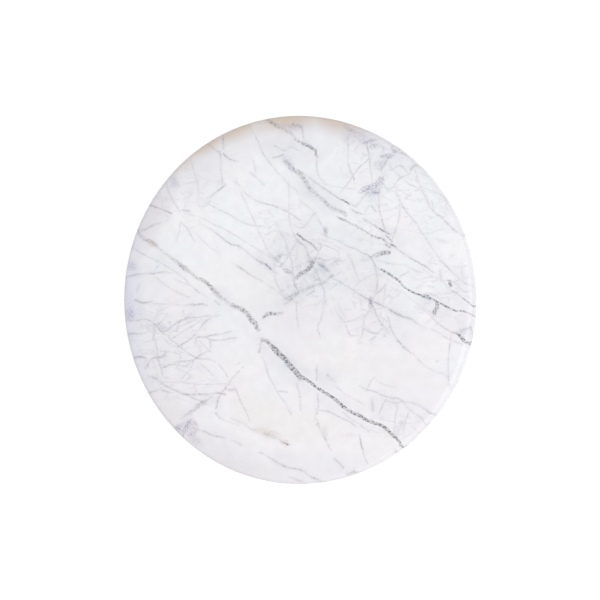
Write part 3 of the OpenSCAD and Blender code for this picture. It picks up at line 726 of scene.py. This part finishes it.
def marble_group():
    """The stone. Flat is the place in the disc's plane and Solid that in the block, both in mm."""
    sockets = {"Flat": "NodeSocketVector", "Solid": "NodeSocketVector"}
    results = {"Color": "NodeSocketColor", "Veins": "NodeSocketFloat"}
    tree, make, given, result = new_group("marble", sockets, results)
    solid = given["Solid"]
    line = make.vector("ADD", warped(make, given["Flat"], solid), (0, 0, 1))
    steady = make.vector("ADD", given["Flat"], (0, 0, 1))
    grain = make.noise(solid, 2.0, 2, 0.7)

    color = stone_body(make, line, solid)
    # Painted shade along the rim.
    color = rim_shading(make, color, line, steady, solid)
    color = vein_tints(make, color, line, solid)
    hair = hairlines(make, line, solid, grain)
    color = inlaid(make, color, hair, HAIR_STRENGTH, HAIR_COLOUR)
    grainy = speckled_veins(make, line, grain)
    color = inlaid(make, color, grainy, SPECKLE_STRENGTH, VEIN_COLOUR)
    bold = solid_veins(make, line, grain)
    color = inlaid(make, color, bold, SOLID_STRENGTH, VEIN_COLOUR)

    veins = make.math("MAXIMUM", make.math("MAXIMUM", bold, grainy), make.math("MULTIPLY", hair, 0.4))
    make.feed(result.inputs["Color"], color)
    make.feed(result.inputs["Veins"], veins)
    return tree


def marble(name, stone, node, turn=0.0, shift=(0, 0, 0)):
    """Polished marble for one disc, with the veins as they are listed on its upper face."""
    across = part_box(node)[1].z / MM
    material, make, shader = new_material(name)
    place = make.vector("SUBTRACT", millimetres(make), (*VEIN_ORIGIN, across))
    inputs = {"Vector": place, "Location": shift, "Rotation": (0, 0, math.radians(turn))}
    solid = make.node("ShaderNodeMapping", inputs).outputs["Vector"]
    x = make.dot(solid, (1, 0, VEIN_DIP[0]))
    y = make.dot(solid, (0, 1, VEIN_DIP[1]))
    flat = make.node("ShaderNodeCombineXYZ", {"X": x, "Y": y}).outputs[0]
    given = make.node("ShaderNodeGroup", {"Flat": flat, "Solid": solid}, node_tree=stone).outputs

    # A polish that is duller in the veins, with tiny pits where crystals have been plucked out.
    haze = make.noise(solid, 14, 3)
    dullness = make.math("MULTIPLY", given["Veins"], VEIN_DULLNESS)
    polish = make.math("ADD", make.ramp(haze, 0.3, 0.7, 0.20, 0.30), dullness)
    crystals = make.cells(solid, 0.9, "Color")
    pits = make.ramp(make.dot(crystals, (0.6, 0.4, 0)), 0.90, 0.97)
    height = make.math("SUBTRACT", make.noise(solid, 6, 4, 0.55), make.math("MULTIPLY", pits, 0.5))

    # The rounded edges are rubbed by hand, so they are a little duller than the flat faces. They are also
    # greyer, by a painted shade that dims the lamp's highlight there.
    facing = make.dot(make.node("ShaderNodeNewGeometry").outputs["Normal"], (0, 0, 1))
    level = make.math("ABSOLUTE", facing)
    edge_shade_and_dullness = make.math("MULTIPLY", make.ramp(level, 0.1, 0.4), make.ramp(level, 0.995, 0.93))
    color = make.blend(make.math("MULTIPLY", edge_shade_and_dullness, EDGE_SHADE_STRENGTH), given["Color"], EDGE_SHADE_COLOUR)

    coat(make, shader, color, make.math("MULTIPLY_ADD", edge_shade_and_dullness, EASED_DULLNESS, polish))
    shader.inputs["IOR"].default_value = STONE_IOR
    relief(make, shader, height, 0.03)
    return material


# ---------------------------------------------------------------- metals, rubber and nylon
def turned_place(make):
    """Radius and height from the turning axis, as (radius, height, 0), and the place itself."""
    place = millimetres(make)
    flat = make.vector("MULTIPLY", place, (1, 1, 0))
    radius = make.node("ShaderNodeVectorMath", {0: flat}, operation="LENGTH").outputs["Value"]
    height = make.dot(place, (0, 0, 1))
    return make.node("ShaderNodeCombineXYZ", {"X": radius, "Y": height}).outputs[0], place


def turned_aluminium():
    """Natural aluminium with the fine rings that a lathe tool leaves."""
    material, make, shader = new_material("turned_aluminium")
    section, place = turned_place(make)
    fine = make.noise(section, 0.22, 2, 0.6)
    coarse = make.noise(section, 1.6, 2)
    bloom = make.noise(place, 9, 3, 0.55)
    grooves = make.math("MULTIPLY_ADD", coarse, 0.5, fine)
    dull = make.ramp(fine, 0.3, 0.7, -0.05, 0.06)
    dull = make.math("ADD", dull, make.ramp(bloom, 0.3, 0.7, 0.24, 0.36))
    color = make.blend(make.ramp(bloom, 0.35, 0.65), (0.73, 0.74, 0.75, 1), (0.79, 0.795, 0.80, 1))
    # Painted shade in the bottoms of the lathe grooves.
    color = make.blend(make.ramp(grooves, 0.82, 0.55, 0, 0.4), color, (0.52, 0.53, 0.54, 1))
    coat(make, shader, color, dull, metallic=1)
    relief(make, shader, grooves, 0.035)
    return material


def plated_steel(name, light, dark, smooth, worn):
    """Steel with a thin finish: cloudy in tone, with small dents and rubs."""
    material, make, shader = new_material(name)
    place = millimetres(make)
    cloud = make.noise(place, 1.8, 4, 0.6)
    rub = make.ramp(make.noise(place, 0.5, 3, 0.7), 0.56, 0.68)
    color = make.blend(make.ramp(cloud, 0.35, 0.65), dark, light)
    color = make.blend(make.math("MULTIPLY", rub, 0.35), color, worn)
    coat(make, shader, color, make.ramp(cloud, 0.3, 0.7, smooth, smooth + 0.14), metallic=1)
    relief(make, shader, make.math("ADD", cloud, rub), 0.01)
    return material


def ball_steel():
    """Chrome steel balls: nearly a mirror, with a trace of grease and fine scuffs."""
    material, make, shader = new_material("ball_steel")
    place = millimetres(make)
    grease = make.ramp(make.noise(place, 2.2, 3, 0.6), 0.45, 0.7)
    scuff = make.noise(place, 0.35, 2, 0.7)
    color = make.blend(make.math("MULTIPLY", grease, 0.25), (0.79, 0.80, 0.81, 1), (0.62, 0.58, 0.48, 1))
    coat(make, shader, color, make.math("MULTIPLY_ADD", grease, 0.16, 0.07), metallic=1)
    relief(make, shader, scuff, 0.002)
    return material


def brass():
    """Machined brass, a little browned where it was handled."""
    material, make, shader = new_material("brass")
    place = millimetres(make)
    tarnish = make.ramp(make.noise(place, 2.4, 4, 0.6), 0.42, 0.66)
    marks = make.noise(make.vector("MULTIPLY", place, (1, 1, 6)), 0.8, 3, 0.6)
    color = make.blend(make.math("MULTIPLY", tarnish, 0.6), (0.80, 0.63, 0.33, 1), (0.47, 0.33, 0.15, 1))
    coat(make, shader, color, make.ramp(tarnish, 0, 1, 0.24, 0.42), metallic=1)
    relief(make, shader, marks, 0.02)
    return material


def nylon():
    """Natural moulded nylon: milky, with flow marks and a fine texture."""
    material, make, shader = new_material("nylon")
    place = millimetres(make)
    flow = make.noise(place, 7, 3, 0.5)
    skin = make.noise(place, 0.25, 3, 0.6)
    color = make.blend(make.ramp(flow, 0.35, 0.65), (0.86, 0.83, 0.75, 1), (0.91, 0.89, 0.84, 1))
    coat(make, shader, color, make.ramp(flow, 0.3, 0.7, 0.42, 0.55))
    relief(make, shader, skin, 0.012)
    return material


def sheet_rubber():
    """Black sheet rubber, with a fine pebble and chalky dust."""
    material, make, shader = new_material("sheet_rubber")
    place = millimetres(make)
    pebble = make.cells(place, 0.55)
    dust = make.ramp(make.noise(place, 5, 4, 0.65), 0.45, 0.75)
    color = make.blend(make.math("MULTIPLY", dust, 0.45), (0.028, 0.028, 0.030, 1), (0.13, 0.125, 0.12, 1))
    coat(make, shader, color, make.ramp(dust, 0, 1, 0.62, 0.86))
    relief(make, shader, pebble, 0.04)
    return material


def foot_rubber():
    """Moulded rubber feet: a satin skin, dull where they rub the table, with dust held in the grain."""
    material, make, shader = new_material("foot_rubber")
    place = millimetres(make)
    grain = make.noise(place, 0.4, 3, 0.6)
    dust = make.ramp(make.noise(place, 2.6, 4, 0.65), 0.42, 0.70)
    low = make.ramp(make.dot(place, (0, 0, 1)), 1.1, 0.05)
    worn = make.math("MAXIMUM", make.math("MULTIPLY", dust, 0.35), make.math("MULTIPLY", low, 0.6))
    color = make.blend(worn, (0.030, 0.030, 0.032, 1), (0.15, 0.145, 0.135, 1))
    coat(make, shader, color, make.ramp(worn, 0, 0.7, 0.48, 0.85))
    relief(make, shader, grain, 0.03)
    return material


def finishes():
    """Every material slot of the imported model, with the material that stands in for it here."""
    stone = marble_group()
    return {
        "white_marble": marble("white_marble_top", stone, "marble_top"),
        "white_marble_base": marble("white_marble_under", stone, "marble_base", *BASE_CUT),
        "cushion_rubber": sheet_rubber(),
        "foot_rubber": foot_rubber(),
        "ring_aluminium": turned_aluminium(),
        "zinc_steel": plated_steel("zinc_steel", *ZINC),
        "black_steel": plated_steel("black_oxide", *BLACK_OXIDE),
        "ball_steel": ball_steel(),
        "brass": brass(),
        "nylon": nylon(),
    }


def dress(materials):
    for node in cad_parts.values():
        for slot in node.material_slots:
            slot.material = materials[slot.material.name]


# ---------------------------------------------------------------- studio
def add_camera():
    """Looks down from the +X side, with +Y upwards in the picture."""
    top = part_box("marble_top")
    rise = math.radians(CAMERA_ELEVATION)
    back = Vector((math.cos(rise), 0, math.sin(rise)))
    middle = (top[0] + top[1]) / 2
    camera = bpy.data.objects.new("camera", bpy.data.cameras.new("camera"))
    bpy.context.scene.collection.objects.link(camera)
    right, up = Vector((math.sin(rise), 0, -math.cos(rise))), Vector((0, 1, 0))
    turn = Matrix((right, up, back)).transposed().to_4x4()
    aim = middle + Vector((AIM_OFFSET, 0, 0))
    camera.matrix_world = Matrix.Translation(aim + back * CAMERA_DISTANCE) @ turn
    camera.data.sensor_width = SENSOR
    camera.data.lens = SENSOR * TOP_FILLS * CAMERA_DISTANCE / (top[1].y - top[0].y)
    bpy.context.scene.camera = camera


def add_key():
    """One large soft lamp above, to the right of the picture and a little below its middle."""
    data = bpy.data.lights.new("key", "AREA")
    data.energy = KEY_WATTS
    data.size = KEY_SIZE
    lamp = bpy.data.objects.new("key", data)
    bpy.context.scene.collection.objects.link(lamp)
    direction = Vector(KEY_DIRECTION).normalized()
    lamp.location = direction * KEY_DISTANCE
    lamp.rotation_mode = "QUATERNION"
    lamp.rotation_quaternion = direction.to_track_quat("Z", "Y")


def seen_plainly(make):
    """One for rays from the camera, and for what glossy and clear surfaces show, otherwise nothing."""
    path = make.node("ShaderNodeLightPath").outputs
    seen = make.math("MAXIMUM", path["Is Camera Ray"], path["Is Glossy Ray"])
    return make.math("MAXIMUM", seen, path["Is Transmission Ray"])


def light_world():
    """White where it is seen or reflected, and a plain even light elsewhere."""
    world = bpy.data.worlds.new("studio")
    world.use_nodes = True
    world.node_tree.nodes.clear()
    make = Maker(world.node_tree)
    strength = make.ramp(seen_plainly(make), 0, 1, FILL, 1, smooth=False)
    light = make.node("ShaderNodeBackground", {"Color": grey(1), "Strength": strength})
    make.feed(make.node("ShaderNodeOutputWorld").inputs["Surface"], light.outputs[0])
    bpy.context.scene.world = world


def floor_material():
    """A pale floor that keeps a soft shadow. From below it is clear, so that the feet are seen."""
    material, make, shader = new_material("floor")
    place = millimetres(make)
    speck = make.ramp(make.noise(place, 3, 3), 0.3, 0.7, 0.985, 1.0)
    make.feed(shader.inputs["Base Color"], make.blend(1.0, grey(FLOOR_GREY), speck, "MULTIPLY"))
    shader.inputs["Roughness"].default_value = 0.9
    shader.inputs["Specular IOR Level"].default_value = 0.1
    shader.inputs["Emission Color"].default_value = grey(1)
    make.feed(shader.inputs["Emission Strength"], make.math("MULTIPLY", seen_plainly(make), FLOOR_GLOW))
    clear = make.node("ShaderNodeBsdfTransparent").outputs[0]
    behind = make.node("ShaderNodeNewGeometry").outputs["Backfacing"]
    sided = make.node("ShaderNodeMixShader", {0: behind, 1: shader.outputs[0], 2: clear})
    output = next(node for node in material.node_tree.nodes if node.type == "OUTPUT_MATERIAL")
    make.feed(output.inputs["Surface"], sided.outputs[0])
    return material


def add_floor():
    """The floor at the feet. The even light of the world stands in for what it would bounce."""
    half = FLOOR_SIZE / 2
    mesh = bpy.data.meshes.new("floor")
    corners = [(-half, -half, 0), (half, -half, 0), (half, half, 0), (-half, half, 0)]
    mesh.from_pydata(corners, [], [(0, 1, 2, 3)])
    mesh.materials.append(floor_material())
    floor = bpy.data.objects.new("floor", mesh)
    floor.location.z = cad_box[0].z - 0.0002
    floor.visible_diffuse = False
    floor.visible_shadow = False
    bpy.context.scene.collection.objects.link(floor)


dress(finishes())
add_camera()
add_key()
light_world()
add_floor()
bpy.context.scene.view_settings.view_transform = "Standard"
